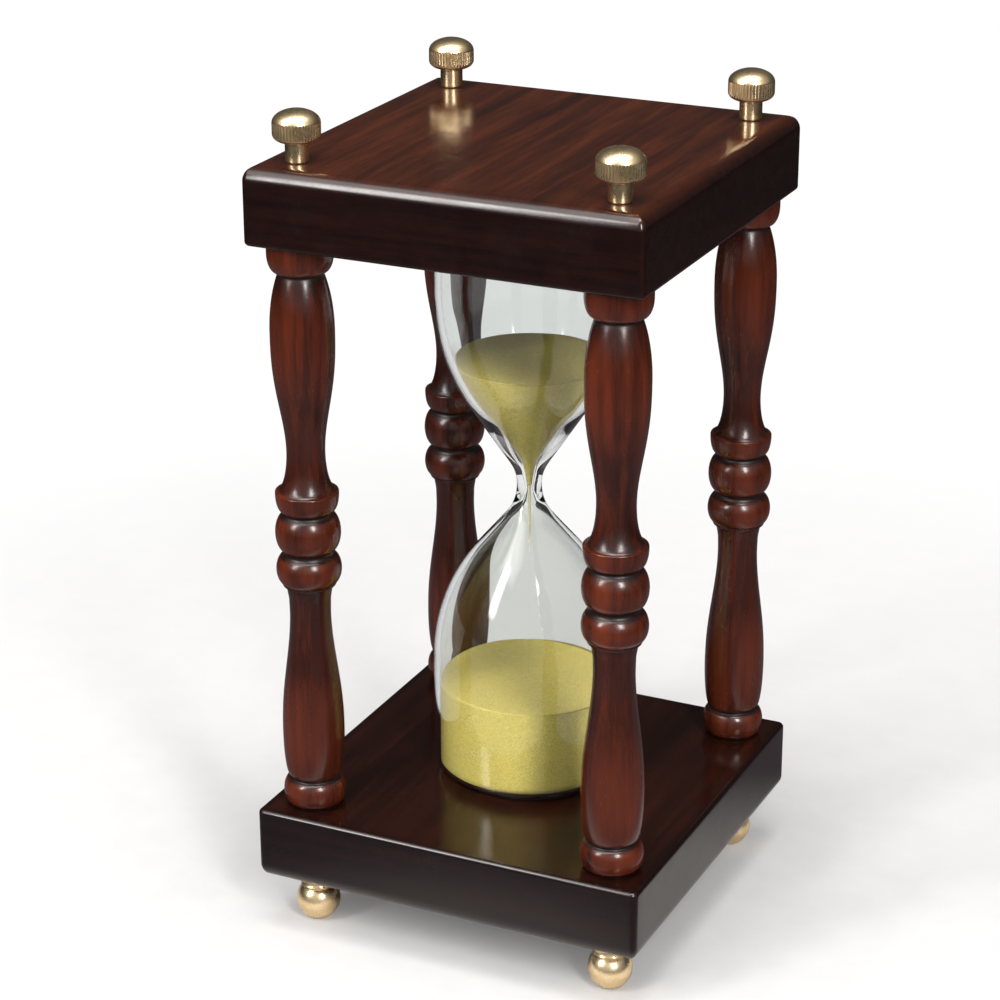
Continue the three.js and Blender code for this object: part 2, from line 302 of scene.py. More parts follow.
def brassMaterial(name, look):
    # turned brass: fine rings round the axis, clouds of tarnish, dirt in the hollows and painted shade in the
    # knurl's valleys and the bores
    graph = Graph(name)
    place = graph.attribute("grainPlace", "Vector")
    hollow = graph.attribute("hollow", "Fac")
    fromAxis = graph.vector("LENGTH", graph.vector("MULTIPLY", place, (1, 1, 0)), output="Value")
    ring = graph.node("ShaderNodeCombineXYZ", None, {"X": fromAxis, "Y": graph.part(place, "Z")})
    marks = graph.noise(ring, look["marks"], 3, 0.7)
    cloud = graph.noise(place, look["cloud"], 4, 0.6, 0.4)
    tarnish = graph.held(cloud, *look["tarnishSpan"])
    colour = graph.mix(tarnish * look["tarnish"], look["bright"], look["dull"])
    # darker in the hollows: dirt in the grooves, and painted shade where the hollow value carries the knurl's
    # valleyShade and the bores' boreShade
    groove = graph.held(hollow, *look["grooveSpan"])
    colour = graph.mix(groove * look["dirtAndShade"], colour, look["deep"])
    polish = graph.held(cloud, 0.3, 0.7, look["gloss"], look["gloss"] + look["smear"])
    roughness = polish + marks * look["markGloss"] + groove * look["grooveGloss"]
    return graph.finish(graph.node("ShaderNodeBsdfPrincipled", None, {
        "Base Color": colour, "Metallic": 1.0, "Roughness": roughness,
        "Normal": graph.bump(marks * look["depth"]),
    }))


def sandMaterial(name, look, falling=False):
    # single grains in three tones with a grainy bump; falling sand also thins out on its way down
    graph = Graph(name)
    place = graph.attribute("grainPlace", "Vector")
    grains = graph.node("ShaderNodeTexVoronoi", None, {"Vector": place, "Scale": look["grain"]}, "Color")
    tint = graph.node("ShaderNodeSeparateColor", None, {"Color": grains}, 0)
    drift = graph.noise(place, look["drift"], 3, 0.55)
    colour = graph.mix(graph.held(tint, *look["tintSpan"]), look["dark"], look["light"])
    colour = graph.mix(graph.held(drift, *look["driftSpan"]) * look["driftShare"], colour, look["warm"])
    fine = graph.noise(place, look["grain"] * 0.8, 2, 0.7)
    inputs = {
        "Base Color": colour, "Roughness": graph.held(tint, 0, 1, *look["gloss"]), "IOR": look["ior"],
        "Normal": graph.bump(fine * look["depth"]),
    }
    if falling:
        scatter = graph.noise(place, look["scatter"], 3, 0.7)
        share = graph.held(graph.part(place, "Z"), look["fadeEnd"], look["fadeStart"])
        thickness = scatter + share * look["fadeShare"]
        inputs["Alpha"] = graph.held(thickness, *look["alphaSpan"], 0, look["alpha"])
    return graph.finish(graph.node("ShaderNodeBsdfPrincipled", None, inputs))


def glassMaterial(name, look):
    # clear glass with faint smears, which lets light through to the sand and the floor
    graph = Graph(name)
    smear = graph.noise(graph.attribute("grainPlace", "Vector"), look["smearScale"], 3, 0.6)
    glass = graph.node("ShaderNodeBsdfPrincipled", None, {
        "Base Color": look["tint"], "Roughness": graph.held(smear, 0.45, 0.8, 0.0, look["smear"]),
        "IOR": look["ior"], "Transmission Weight": 1.0,
    })
    clear = graph.node("ShaderNodeBsdfTransparent", None, {"Color": look["shadow"]})
    shadowRay = graph.node("ShaderNodeLightPath", None, None, "Is Shadow Ray")
    return graph.finish(graph.node("ShaderNodeMixShader", None, {0: shadowRay, 1: glass, 2: clear}))


def plainMaterial(name, look):
    # rubber, cork and steel: two tones in a fine pattern, with a bump to match
    graph = Graph(name)
    place = graph.node("ShaderNodeTexCoord", None, None, "Object")
    speckle = graph.noise(place, look["scale"], 4, 0.65)
    share = graph.held(speckle, 0.35, 0.68)
    return graph.finish(graph.node("ShaderNodeBsdfPrincipled", None, {
        "Base Color": graph.mix(share, look["dark"], look["light"]), "Metallic": look["metal"],
        "Roughness": graph.held(speckle, 0.3, 0.7, look["gloss"], look["gloss"] + 0.15),
        "Normal": graph.bump(speckle * look["depth"]),
    }))


woodLook = {
    "bend": 0.018, "poreSpan": (0.56, 0.72), "shares": (0.55, 0.3, 0.3, 0.1), "toneSpan": (0.47, 0.78),
    "redSpan": (0.5, 0.75), "poreShare": 0.6, "endGrain": 0.35, "endSpan": (0.4, 0.7), "hollowFrom": 0.02,
    "shadeShare": 0.92, "patchSpan": (0.34, 0.66), "highSpan": (0.1, 0.8), "smudge": 0.09, "smear": 0.1,
    "poreGloss": 0.06, "ripple": 0.35, "wave": 0.012, "poreDepth": 0.005, "ior": 1.5,
}
boards = {
    "cornerRadius": 2.4, "faceCorner": 0.6, "outerEdge": 5, "innerEdge": 1.5,
    "seatRadius": 26.5, "seatDepth": 0.8,
    "cornerSteps": 12, "sideSteps": 28, "outerSteps": 14, "innerSteps": 8,
    "outerFace": (0, 0.02, 0.2, 0.4, 0.6, 0.8, 0.93, 0.985), "side": (0.03, 0.2, 0.4, 0.6, 0.8, 0.97),
    "innerFace": (0.01, 0.06, 0.2, 0.4, 0.6, 0.8, 0.96), "seatFace": (0.97, 0.5, 0.02, 0),
    "grainShift": 400,
}
boardLook = {
    **woodLook, "stretch": (1, 0.06, 1), "figure": 0.055, "streak": 0.2, "pores": 2.0, "blotch": 0.022,
    "dark": (0.013, 0.0035, 0.002), "light": (0.045, 0.011, 0.0043), "red": (0.08, 0.0165, 0.0053),
    "pore": (0.010, 0.0035, 0.002), "groove": (0.0028, 0.0009, 0.0010), "redShare": 0.45,
    "endStreak": (0.05, 1, 1), "endGrainShade": (0.0075, 0.0021, 0.0020), "hollowDepth": 1.0,
    "worn": (0.06, 0.014, 0.005), "wear": 0.0, "gloss": 0.11, "grooveGloss": 0.05,
}
# painted shade: the base board is coloured darker than the top board, as if shaded by it from the lamps above
shadedBaseLook = {
    **boardLook, "dark": (0.006, 0.0017, 0.0012), "light": (0.02, 0.005, 0.0027),
    "red": (0.036, 0.0075, 0.0032),
}


def boardRing(half, edge):
    # a square with rounded corners: its half width less the edge's inset, dense round the corners
    radius = max(boards["faceCorner"], boards["cornerRadius"] - edge)
    reach = half - edge - radius
    turn = np.linspace(0, np.pi / 2, boards["cornerSteps"] + 1)
    bends = []
    for k, (x, y) in enumerate(((1, 1), (-1, 1), (-1, -1), (1, -1))):
        angle = turn + k * np.pi / 2
        bend = [x * reach + radius * np.cos(angle), y * reach + radius * np.sin(angle)]
        bends.append(np.stack(bend, axis=1))
    share = np.linspace(0, 1, boards["sideSteps"] + 1)[1:-1, None]
    ring = []
    for bend, following in zip(bends, bends[1:] + bends[:1]):
        ring += [bend, bend[-1] + (following[0] - bend[-1]) * share]
    return np.concatenate(ring)


def boardPoints(half, thickness, flipped):
    # rings from the outer face's middle, over its round-over, down the side and in to the gasket's seat
    outer, inner, seatFloor = boards["outerEdge"], boards["innerEdge"], thickness - boards["seatDepth"]
    outerFace, side, innerFace = boardRing(half, outer), boardRing(half, 0), boardRing(half, inner)
    seat = innerFace / np.linalg.norm(innerFace, axis=1)[:, None] * boards["seatRadius"]
    outerAngles = np.radians(np.linspace(0, 90, boards["outerSteps"] + 1))
    innerAngles = np.radians(np.linspace(0, 90, boards["innerSteps"] + 1))
    rings = [
        *[(outerFace * share, 0) for share in boards["outerFace"]],
        *[(boardRing(half, outer * (1 - math.sin(a))), outer * (1 - math.cos(a))) for a in outerAngles],
        *[(side, outer + (thickness - outer - inner) * share) for share in boards["side"]],
        *[(boardRing(half, inner * (1 - math.cos(a))), thickness - inner * (1 - math.sin(a)))
          for a in innerAngles],
        *[(innerFace + (seat - innerFace) * share, thickness) for share in boards["innerFace"]],
        (seat, thickness), (seat, seatFloor),
        *[(seat * share, seatFloor) for share in boards["seatFace"]],
    ]
    points = np.stack([np.column_stack([plan, np.full(len(plan), height)]) for plan, height in rings])
    if flipped:
        points = points * np.array([1, -1, -1]) + np.array([0, 0, thickness])
    return points


boardWoods = {
    "base_board": woodMaterial("polishedBasePaintedShade", shadedBaseLook),
    "top_board": woodMaterial("polishedTop", boardLook),
}
for nodeName, flipped in (("base_board", False), ("top_board", True)):
    low, high = nodeBox(nodeName)
    half = (high[0] - low[0]) / 2
    points = boardPoints(half, high[2] - low[2], flipped) + np.array([0, 0, low[2]])
    offset = rng.uniform(-boards["grainShift"], boards["grainShift"], 3)
    # painted shade on the vertical sides, as if less light reached them: 1 there, falling to 0 across the
    # round-overs
    inset = half - np.abs(points[..., :2]).max(axis=-1)
    sides = np.clip(1 - inset / boards["outerEdge"], 0, 1)
    skin(nodeName + "_wood", points, boardWoods[nodeName], "frame", [nodeName],
         place=points + offset, hollow=sides)
print("boards made")


columns = {
    "bore": 2.5,
    "baseCollar": {"foot": 8.8, "centre": 5.3, "widest": 10.75, "top": 10.1, "neck": 8.3},
    "baseGroove": {"radius": 8.15, "height": 10.5},
    "lowerFoot": {"height": 11, "radius": 8.6},
    "lowerVase": {"belly": 10.5, "bellyHeight": 27.5, "waist": 6.9, "waistHeight": 71.5, "skew": 1.12},
    "step": {"height": 81.3, "below": 7.85, "above": 9.2, "rise": 0.2, "sag": 0.35},
    "smallBead": {"centre": 87.2, "radius": 10.95, "halfHeight": 5.9, "reach": 3},
    "beadGroove": {"height": 93.1, "radius": 8.4, "halfWidth": 0.6},
    "bigBead": {"centre": 100.3, "radius": 10.95, "halfHeight": 7.2, "reach": 3.2},
    "bellGroove": {"height": 107.6, "radius": 8.2, "halfWidth": 0.4},
    "bell": {"arris": 114, "radius": 10.6, "reach": 2, "lip": 0.8, "inset": 0.2},
    "upperVase": {"belly": 10.6, "bellyHeight": 170, "waist": 6.4, "waistHeight": 128.5, "skew": 1.32},
    "upperNeck": {"height": 189.6, "taper": 28},
    "topGroove": {"height": 190, "radius": 7.45},
    "capital": {"foot": 190.4, "footRadius": 8, "shoulder": 196.6, "widest": 10.9},
    "sides": 80, "spacing": 0.4, "blur": 0.4, "hollowReach": 3.0,
    "wear": {"groove": 0.06, "from": 7.9, "over": 2.6, "most": 0.75, "power": 1.5},
    "grainShift": 9, "lengthShift": 900,
}
columnLook = {
    **woodLook, "stretch": (1, 1, 0.07), "figure": 0.1, "streak": 0.3, "pores": 2.6, "blotch": 0.04,
    "dark": (0.009, 0.0022, 0.0016), "light": (0.038, 0.0075, 0.0035), "red": (0.075, 0.0115, 0.004),
    "pore": (0.010, 0.0028, 0.002), "groove": (0.0025, 0.0009, 0.0009), "redShare": 0.55,
    "endStreak": (1, 1, 0.045), "endGrainShade": (0.003, 0.0011, 0.001), "hollowDepth": 0.9,
    "worn": (0.125, 0.0205, 0.0055), "wear": 0.6, "gloss": 0.17, "grooveGloss": 0.2,
}


def bead(part, grooveHalfWidth):
    # the ellipse's arc of a bead, which stops short of the grooves on both sides
    return arc(part["radius"] - part["reach"], part["centre"], part["reach"],
               part["halfHeight"] - grooveHalfWidth, -78, 78)


def columnOutline(length):
    # collar, lower vase, two beads, bell, upper vase and capital, from the base board up
    collar, groove, foot = columns["baseCollar"], columns["baseGroove"], columns["lowerFoot"]
    step, between, under = columns["step"], columns["beadGroove"], columns["bellGroove"]
    bell, neck, top = columns["bell"], columns["upperNeck"], columns["topGroove"]
    lower, upper, capital = columns["lowerVase"], columns["upperVase"], columns["capital"]
    footRise = lower["bellyHeight"] - foot["height"]
    flareTop = bell["radius"] - bell["inset"]
    flareRise = upper["waistHeight"] - bell["arris"] - bell["lip"]
    taperEnd = math.degrees(math.asin((neck["height"] - upper["bellyHeight"]) / neck["taper"]))
    return np.concatenate([
        [[collar["foot"], 0]],
        arc(collar["neck"], collar["centre"], collar["widest"] - collar["neck"],
            collar["top"] - collar["centre"], -78, 90),
        [[groove["radius"], groove["height"]]],
        arc(foot["radius"], lower["bellyHeight"], lower["belly"] - foot["radius"], footRise, -90, 0),
        swell(**lower),
        [[(lower["waist"] + step["below"]) / 2 - step["sag"], (lower["waistHeight"] + step["height"]) / 2]],
        [[step["below"], step["height"]], [step["above"], step["height"] + step["rise"]]],
        bead(columns["smallBead"], between["halfWidth"]),
        [[between["radius"], between["height"]]],
        bead(columns["bigBead"], between["halfWidth"]),
        [[under["radius"], under["height"]]],
        arc(bell["radius"] - bell["reach"], bell["arris"], bell["reach"],
            bell["arris"] - under["height"] - under["halfWidth"], -80, 10),
        arc(flareTop, upper["waistHeight"], flareTop - upper["waist"], flareRise, 268, 180),
        swell(**upper)[::-1],
        arc(0, upper["bellyHeight"], upper["belly"], neck["taper"], 0, taperEnd),
        [[top["radius"], top["height"]]],
        arc(capital["footRadius"], capital["shoulder"], capital["widest"] - capital["footRadius"],
            capital["shoulder"] - capital["foot"], -90, 0),
        [[capital["widest"], length]],
    ])


columnWood = woodMaterial("turnedColumn", columnLook)
for corner in corners:
    nodeName = "column_" + corner
    low, high = nodeBox(nodeName)
    centre = (low[:2] + high[:2]) / 2
    length = high[2] - low[2]
    outline = softened(columnOutline(length), columns["spacing"], columns["blur"])
    depth = hollows(outline, columns["spacing"], columns["hollowReach"])
    # handling has worn the stain where the column is widest
    wear = columns["wear"]
    worn = wear["most"] * np.clip((outline[:, 0] - wear["from"]) / wear["over"], 0, 1) ** wear["power"]
    depth = np.where(depth > wear["groove"], depth, depth - worn)
    bore = np.array([[columns["bore"], length], [columns["bore"], 0]])
    points = turned(np.concatenate([outline, bore]), columns["sides"], centre, low[2])
    shift, lengthShift = columns["grainShift"], columns["lengthShift"]
    offset = np.append(rng.uniform(-shift, shift, 2), rng.uniform(-lengthShift, lengthShift))
    place = points - np.append(centre, 0) + offset
    skin(nodeName + "_wood", points, columnWood, "frame", [nodeName],
         loop=True, place=place, hollow=np.concatenate([depth, [0, 0]])[:, None])
print("columns made")


nuts = {
    "stem": 3.85, "stemTop": 6.4, "stemChamfer": 0.3, "head": 7.8, "knurlBottom": 9.1, "domeFoot": 12.6,
    "height": 17, "boreDepth": 12, "bore": 2.35, "spacing": 0.2, "blur": 0.3, "hollowReach": 1.2,
    "ridges": 44, "ridgeDepth": 0.32, "perRidge": 10, "ridgeInside": 4.75, "ridgeFoot": 8.6, "ridgeTop": 13.1,
    "riseFrom": -0.7, "rise": 0.9, "fall": 0.25, "valleyPower": 1.4, "valleyShade": 0.22, "boreShade": 0.3,
}
feet = {
    "ball": 7.6, "rest": 2.35, "collar": 5.6, "crease": 4.9, "waist": 0.35, "flare": 1.2,
    "boreDepth": 9.5, "bore": 2.35, "boreShade": 0.3, "sides": 72, "spacing": 0.2, "blur": 0.3,
    "hollowReach": 1.2, "markShift": (20, 300),
}
brassLook = {
    "marks": 5.0, "depth": 0.006, "cloud": 0.16, "bright": (0.94, 0.74, 0.45), "dull": (0.78, 0.55, 0.28),
    "tarnishSpan": (0.42, 0.75), "tarnish": 0.55, "deep": (0.14, 0.08, 0.03), "grooveSpan": (0.05, 0.45),
    "dirtAndShade": 0.8, "gloss": 0.2, "smear": 0.12, "markGloss": 0.05, "grooveGloss": 0.1,
}


def nutOutline():
    # stem, rounded underside, knurled band and dome; the threaded bore closes it from below
    stem, chamfer = nuts["stem"], nuts["stemChamfer"]
    return np.concatenate([
        [[stem - chamfer, 0], [stem, chamfer]],
        arc(stem, nuts["knurlBottom"], nuts["head"] - stem, nuts["knurlBottom"] - nuts["stemTop"], -90, 0),
        arc(0, nuts["domeFoot"], nuts["head"], nuts["height"] - nuts["domeFoot"], 0, 90, 60),
    ])


def nutSkin(corner, material):
    nodeName = "thumb_nut_" + corner
    low, high = nodeBox(nodeName)
    centre = (low[:2] + high[:2]) / 2
    outline = softened(nutOutline(), nuts["spacing"], nuts["blur"])
    depth = hollows(outline, nuts["spacing"], nuts["hollowReach"])
    outline[-1] = (0, nuts["height"])
    sides = nuts["ridges"] * nuts["perRidge"]
    height = outline[:, 1:]
    # the ridges fade in over the underside's curve and end in a low step under the dome
    rise = np.clip((height - nuts["ridgeFoot"] - nuts["riseFrom"]) / nuts["rise"], 0, 1)
    fall = np.clip((nuts["ridgeTop"] - height) / nuts["fall"], 0, 1)
    onHead = (outline[:, :1] > nuts["ridgeInside"]) * rise * fall
    valley = (0.5 - 0.5 * np.cos(nuts["ridges"] * around(sides))) ** nuts["valleyPower"]
    outside = turned(outline, sides, centre, low[2], -nuts["ridgeDepth"] * onHead * valley)
    shade = depth[:, None] + onHead * valley * nuts["valleyShade"]
    # the bore turns back down inside: its blind end's middle, its blind end and its mouth
    boreDepth, bore = nuts["boreDepth"], nuts["bore"]
    inside = turned(np.array([[0, boreDepth], [bore, boreDepth], [bore, 0]]), sides, centre, low[2])
    points = np.concatenate([inside, outside])
    shade = np.concatenate([np.full((len(inside), sides), nuts["boreShade"]), shade])
    place = points - np.array([*centre, low[2]])
    skin(nodeName + "_brass", points, material, "nut_" + corner, [nodeName],
         place=place, hollow=shade)


def footOutline(height):
    # a ball with a small flat to stand on, a crease above it and a short collar that widens at both ends
    ball, rest, collar, flare = feet["ball"], feet["rest"], feet["collar"], feet["flare"]
    centre = math.sqrt(ball ** 2 - rest ** 2)
    restAngle = math.degrees(math.acos(rest / ball))
    neckAngle = math.degrees(math.acos(feet["crease"] / ball))
    crease = centre + ball * math.sin(math.radians(neckAngle))
    middle = (crease + height) / 2
    return np.concatenate([
        arc(0, centre, ball, ball, -restAngle, neckAngle, 60),
        arc(collar + flare, middle, -flare - feet["waist"], (height - crease) / 2, -65, 65, 20),
        [[collar, height]],
    ])


brass = brassMaterial("agedBrass", brassLook)
for corner in corners:
    nutSkin(corner, brass)
    nodeName = "ball_foot_" + corner
    low, high = nodeBox(nodeName)
    centre = (low[:2] + high[:2]) / 2
    height = high[2] - low[2]
    outline = softened(footOutline(height), feet["spacing"], feet["blur"])
    depth = hollows(outline, feet["spacing"], feet["hollowReach"])
    boreEnd = height - feet["boreDepth"]
    bore = [[feet["bore"], height], [feet["bore"], boreEnd], [0, boreEnd]]
    outline = np.concatenate([[[0, 0]], outline, bore])
    depth = np.concatenate([[0], depth, np.full(len(bore), feet["boreShade"])])
    points = turned(outline, feet["sides"], centre, low[2])
    place = points - np.array([*centre, low[2]]) + np.array([0, 0, rng.uniform(*feet["markShift"])])
    skin(nodeName + "_brass", points, brass, "frame", [nodeName],
         place=place, hollow=depth[:, None])
print("brass made")


vessel = {
    "wall": 1.9, "end": 2.2, "endCorner": 5, "lowerRadius": 33.2, "upperRadius": 31.6,
    "lowerShoulder": (65.6, 64), "upperShoulder": (151.5, 68),
    "neckRadius": 4.2, "lowerNeck": (99.5, 16), "upperNeck": (110.4, 12),
    "throat": (0.9, 104.2, 6), "lowerFunnel": (2.3, 99.2, 4, 64.9), "upperFunnel": (2, 114.6, 8, 151),
    "fillingHole": 1.6, "sides": 160, "spacing": 0.9, "blur": 1.2, "outerBlur": 3.5,
}
glassLook = {
    "tint": (0.83, 0.85, 0.84), "shadow": (0.92, 0.93, 0.92), "ior": 1.47,
    "smearScale": 0.05, "smear": 0.03,
}


def cavityOutline(height, margin):
    # the inside of the two bulbs from the bottom up, drawn in by the margin
    wall, end = vessel["wall"], vessel["end"] + margin
    lower, upper = vessel["lowerRadius"] - wall - margin, vessel["upperRadius"] - wall - margin
    innerCorner = vessel["endCorner"] - wall - margin
    lowerFunnel, upperFunnel, throat = vessel["lowerFunnel"], vessel["upperFunnel"], vessel["throat"]
    return rounded([
        (0, end, 0), (lower, end, innerCorner),
        (lower, lowerFunnel[3], vessel["lowerShoulder"][1] - wall),
        (lowerFunnel[0] - margin, lowerFunnel[1], lowerFunnel[2]),
        (throat[0] - margin, throat[1], throat[2]),
        (upperFunnel[0] - margin, upperFunnel[1], upperFunnel[2]),
        (upper, upperFunnel[3], vessel["upperShoulder"][1] - wall),
        (upper, height - end, innerCorner), (vessel["fillingHole"], height - end, 0),
    ])


def glassOutline(height):
    # the outside from the bottom up
    return rounded([
        (0, 0, 0), (vessel["lowerRadius"], 0, vessel["endCorner"]),
        (vessel["lowerRadius"], *vessel["lowerShoulder"]),
        (vessel["neckRadius"], *vessel["lowerNeck"]), (vessel["neckRadius"], *vessel["upperNeck"]),
        (vessel["upperRadius"], *vessel["upperShoulder"]),
        (vessel["upperRadius"], height, vessel["endCorner"]), (vessel["fillingHole"], height, 0),
    ])


low, high = nodeBox("glass_vessel")
glassBottom, glassHeight = low[2], high[2] - low[2]
outside = softened(glassOutline(glassHeight), vessel["spacing"], vessel["outerBlur"])
inside = softened(cavityOutline(glassHeight, 0), vessel["spacing"], vessel["blur"])[::-1]
points = turned(np.concatenate([outside, inside]), vessel["sides"], (0, 0), glassBottom)
clearGlass = glassMaterial("blownGlass", glassLook)
skin("glass_bulbs", points, clearGlass, "frame", ["glass_vessel"])
print("glass made")


sand = {
    "gap": 0.3, "upperSurface": 150.9, "lowerSurface": 34, "tip": 106, "tipRadius": 0.45,
    "sides": 128, "spacing": 0.7, "surfaceRings": 39,
    "streamTop": 0.5, "streamBottom": 0.32, "streamSides": 16, "streamSteps": 120, "fadeDrops": (10, 27),
    "shiver": 0.04, "shiverPitch": 2.3,
    "heap": {"rise": 1.6, "reach": 0.55, "sink": 0.4, "lean": 0.7, "towards": 40, "lobes": 0.25},
    "dip": {"depth": 0.8, "reach": 0.3, "sway": 0.3},
}
sandLook = {
    "grain": 4.2, "dark": (0.33, 0.27, 0.07), "light": (0.57, 0.48, 0.135), "tintSpan": (0.1, 0.95),
    "drift": 0.12, "driftSpan": (0.35, 0.7), "driftShare": 0.5, "warm": (0.48, 0.385, 0.085),
    "depth": 0.06, "gloss": (0.75, 0.98), "ior": 1.3,
}


def sandBody(outline, level, unevenness):
    # the outline's rings below the level, then rings of its last radius drawn in to the axis, whose heights
    # rise and fall as a few broad waves
    below = outline[outline[:, 1] < level]
    edge = np.interp(level, outline[:, 1], outline[:, 0])
    share = np.linspace(1, 0, sand["surfaceRings"] + 1)[:, None]
    rows = np.concatenate([below, share * [edge, 0] + [0, level]])
    points = turned(rows, sand["sides"], (0, 0), glassBottom)
    points[len(below):, :, 2] += unevenness(share, around(sand["sides"]))
    return points


def lowerWaves(share, angle):
    # a low bell-shaped heap under the stream, leaning down towards the back right, with three lobes
    heap = sand["heap"]
    bell = heap["rise"] * np.exp(-(share / heap["reach"]) ** 2) - heap["sink"]
    lean = -heap["lean"] * share * np.cos(angle - math.radians(heap["towards"]))
    return bell + lean + heap["lobes"] * share * np.sin(3 * angle + 1)


def upperWaves(share, angle):
    # almost level, with a faint bell-shaped dip over the neck
    dip = sand["dip"]
    return -dip["depth"] * np.exp(-(share / dip["reach"]) ** 2) + dip["sway"] * share * np.sin(2 * angle)


sandFinish = sandMaterial("yellowSand", sandLook)
bed = softened(cavityOutline(glassHeight, sand["gap"]), sand["spacing"], vessel["blur"])
points = sandBody(bed, sand["lowerSurface"], lowerWaves)
skin("sand_bed_lower", points, sandFinish, "frame", ["sand_lower"])
funnel = bed[bed[:, 1] > sand["tip"]]
funnel = np.concatenate([[[0, sand["tip"]], [sand["tipRadius"], sand["tip"]]], funnel])
points = sandBody(funnel, sand["upperSurface"], upperWaves)
skin("sand_bed_upper", points, sandFinish, "frame", ["sand_upper"])

low, high = nodeBox("sand_stream")
fadeStart, fadeEnd = (high[2] - drop for drop in sand["fadeDrops"])
# painted light: the falling sand gets much paler tones than the same sand lying in the bulbs, a lit copy of
# the sand
litFallLook = {
    **sandLook, "dark": (0.7, 0.62, 0.33), "light": (0.92, 0.86, 0.6), "warm": (0.85, 0.77, 0.45),
    "scatter": 1.6, "fadeStart": fadeStart, "fadeEnd": fadeEnd, "fadeShare": 0.9,
    "alphaSpan": (0.55, 1.25), "alpha": 0.7,
}
streamFinish = sandMaterial("fallingSandPaintedLight", litFallLook, falling=True)
# the thread narrows from its top as the cube of the height, and shivers a little on its way down
fall = np.linspace(0, 1, sand["streamSteps"])[:, None]
radius = sand["streamBottom"] + (sand["streamTop"] - sand["streamBottom"]) * fall ** 3
rows = np.concatenate([radius, low[2] + (high[2] - low[2]) * fall], axis=1)
rows = np.concatenate([[[0, low[2]]], rows, [[0, high[2]]]])
wave = np.sin(rows[:, 1:] * sand["shiverPitch"] + around(sand["streamSides"]) * 2)
points = turned(rows, sand["streamSides"], (0, 0), 0, sand["shiver"] * wave * (rows[:, :1] > 0))
skin("sand_thread", points, streamFinish, "frame", ["sand_stream"])
print("sand made")


plainLooks = {
    "rubber": {
        "nodes": ["lower_gasket", "upper_gasket"], "scale": 900, "depth": 0.05, "metal": 0.0, "gloss": 0.7,
        "dark": (0.010, 0.010, 0.009), "light": (0.028, 0.027, 0.025),
    },
    "cork": {
        "nodes": ["filling_plug"], "scale": 700, "depth": 0.2, "metal": 0.0, "gloss": 0.8,
        "dark": (0.20, 0.10, 0.04), "light": (0.52, 0.33, 0.17),
    },
    "steel": {
        "nodes": ["tie_rod_" + corner for corner in corners], "scale": 500, "depth": 0.03, "metal": 1.0,
        "gloss": 0.3, "dark": (0.33, 0.33, 0.33), "light": (0.55, 0.55, 0.54),
    },
}
for finish, look in plainLooks.items():
    made = plainMaterial(finish + "Finish", look)
    for nodeName in look["nodes"]:
        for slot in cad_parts[nodeName].material_slots:
            slot.material = made
print("hidden pieces finished")


studio = {
    "floorSize": 14.0,
    "lampColour": (1.0, 0.97, 0.94), "lampLift": 0.15, "lampFade": (0.85, 0.7), "lampGain": 1.6,
    "softboxes": {
        "right": {"azimuth": 46, "elevation": 32, "distance": 1.4, "size": (0.28, 0.9), "power": 18},
        "left": {"azimuth": -30, "elevation": 32, "distance": 1.4, "size": (0.3, 0.9), "power": 12},
        "high": {"azimuth": -36, "elevation": 56, "distance": 1.5, "size": (1.3, 0.9), "power": 8},
        "overhead": {"azimuth": 30, "elevation": 82, "distance": 1.3, "size": (1.1, 0.8), "power": 19},
    },
    "world": {"axis": (0.2, -0.55, 0.81), "from": 0.1, "to": 0.9, "dark": 0.045, "bright": 0.6},
    "camera": {
        "place": (0.38016, -0.82902, 0.50933), "turn": 25.2632, "down": 21.7397, "roll": -0.1548,
        "lens": 103.79, "sensor": 36, "nearest": 0.01, "farthest": 50,
    },
}
paper = {
    "fibre": 60, "dark": (0.5, 0.5, 0.51), "light": (0.53, 0.53, 0.53),
    "glow": 1.04, "glowFrom": 0.1, "glowTo": 0.5, "glowShare": (0.12, 0.97),
    "nearFrom": 0.1, "nearTo": 0.145, "near": (0.5, 0.49, 0.48), "under": (0.1, 0.09, 0.1),
    "edgeFrom": 0.3, "edge": 0.75, "beyond": (0.02, 0.02, 0.02),
}


def floorMaterial():
    # pale paper: white to the eye and through the glass, dimmer in reflections, where it ends like a table
    graph = Graph("palePaper")
    place = graph.node("ShaderNodeTexCoord", None, None, "Object")
    distance = graph.vector("LENGTH", place, output="Value")
    fibre = graph.held(graph.noise(place, paper["fibre"], 3, 0.6), 0.3, 0.7)
    matt = graph.node("ShaderNodeBsdfDiffuse", None, {
        "Color": graph.mix(fibre, paper["dark"], paper["light"]),
    })
    glow = graph.node("ShaderNodeEmission", None, {"Color": (1, 1, 1), "Strength": paper["glow"]})
    glowShare = graph.held(distance, paper["glowFrom"], paper["glowTo"], *paper["glowShare"])
    bright = graph.node("ShaderNodeMixShader", None, {0: glowShare, 1: matt, 2: glow})
    fromNear = graph.held(distance, paper["nearFrom"], paper["nearTo"])
    near = graph.mix(fromNear, paper["near"], paper["under"])
    far = graph.held(distance, paper["edgeFrom"], paper["edge"])
    dim = graph.node("ShaderNodeBsdfDiffuse", None, {"Color": graph.mix(far, near, paper["beyond"])})
    glossy = graph.node("ShaderNodeLightPath", None, None, "Is Glossy Ray")
    through = graph.node("ShaderNodeLightPath", None, None, "Is Transmission Ray")
    return graph.finish(graph.node("ShaderNodeMixShader", None, {
        0: glossy * (1 - through), 1: bright, 2: dim,
    }))


size = studio["floorSize"] / 2
floorMesh = bpy.data.meshes.new("floor")
square = [(-size, -size, 0), (size, -size, 0), (size, size, 0), (-size, size, 0)]
floorMesh.from_pydata(square, [], [(0, 1, 2, 3)])
floorMesh.materials.append(floorMaterial())
floor = bpy.data.objects.new("floor", floorMesh)
bpy.context.scene.collection.objects.link(floor)


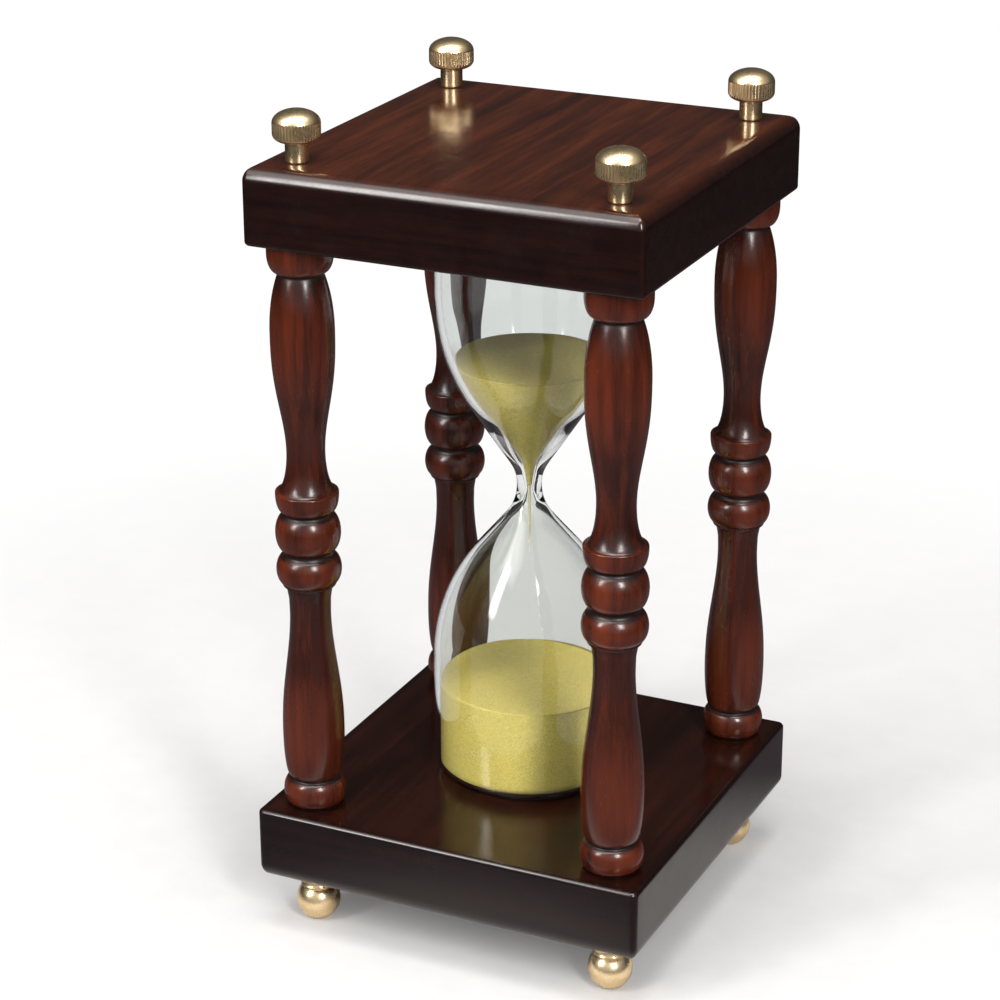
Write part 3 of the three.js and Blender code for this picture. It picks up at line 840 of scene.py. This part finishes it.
def softbox(name, place):
    # a rectangle of cloth that glows less towards its frame, turned to face the object
    azimuth, elevation = math.radians(place["azimuth"]), math.radians(place["elevation"])
    lamp = bpy.data.lights.new(name, "AREA")
    lamp.shape = "RECTANGLE"
    lamp.size, lamp.size_y = place["size"]
    lamp.energy = place["power"]
    lamp.color = studio["lampColour"]
    lamp.use_nodes = True
    graph = Graph.over(lamp.node_tree)
    spot = graph.node("ShaderNodeNewGeometry", None, None, "Parametric")
    across, up = graph.part(spot, "X"), graph.part(spot, "Y")
    acrossFade, upFade = studio["lampFade"]
    fade = graph.held(across * (1 - across) * 4, 0, acrossFade) * graph.held(up * (1 - up) * 4, 0, upFade)
    cloth = graph.node("ShaderNodeEmission", None, {
        "Color": (1, 1, 1), "Strength": fade * studio["lampGain"],
    })
    graph.node("ShaderNodeOutputLight", None, {"Surface": cloth})
    holder = bpy.data.objects.new(name, lamp)
    flat = math.cos(elevation) * place["distance"]
    height = studio["lampLift"] + math.sin(elevation) * place["distance"]
    holder.location = (math.sin(azimuth) * flat, -math.cos(azimuth) * flat, height)
    holder.rotation_euler = (math.radians(90) - elevation, 0, azimuth)
    bpy.context.scene.collection.objects.link(holder)


for name, place in studio["softboxes"].items():
    softbox(name, place)


def studioWorld():
    # dim walls that grow brighter towards the front and above
    look = studio["world"]
    world = bpy.data.worlds.new("studioWorld")
    world.use_nodes = True
    graph = Graph.over(world.node_tree)
    direction = graph.node("ShaderNodeTexCoord", None, None, "Generated")
    facing = graph.vector("DOT_PRODUCT", direction, look["axis"], output="Value")
    strength = graph.held(facing, look["from"], look["to"], look["dark"], look["bright"])
    background = graph.node("ShaderNodeBackground", None, {"Color": (1, 1, 1), "Strength": strength})
    graph.node("ShaderNodeOutputWorld", None, {"Surface": background})
    bpy.context.scene.world = world


studioWorld()

aim = studio["camera"]
lens = bpy.data.cameras.new("camera")
lens.lens = aim["lens"]
lens.sensor_width = aim["sensor"]
lens.clip_start = aim["nearest"]
lens.clip_end = aim["farthest"]
camera = bpy.data.objects.new("camera", lens)
turn = Euler((math.radians(90 - aim["down"]), 0, math.radians(aim["turn"]))).to_matrix()
turn = turn @ Matrix.Rotation(math.radians(aim["roll"]), 3, "Z")
camera.matrix_world = Matrix.Translation(aim["place"]) @ turn.to_4x4()
bpy.context.scene.collection.objects.link(camera)
bpy.context.scene.camera = camera
bpy.context.scene.view_settings.view_transform = "Standard"
print("studio ready")
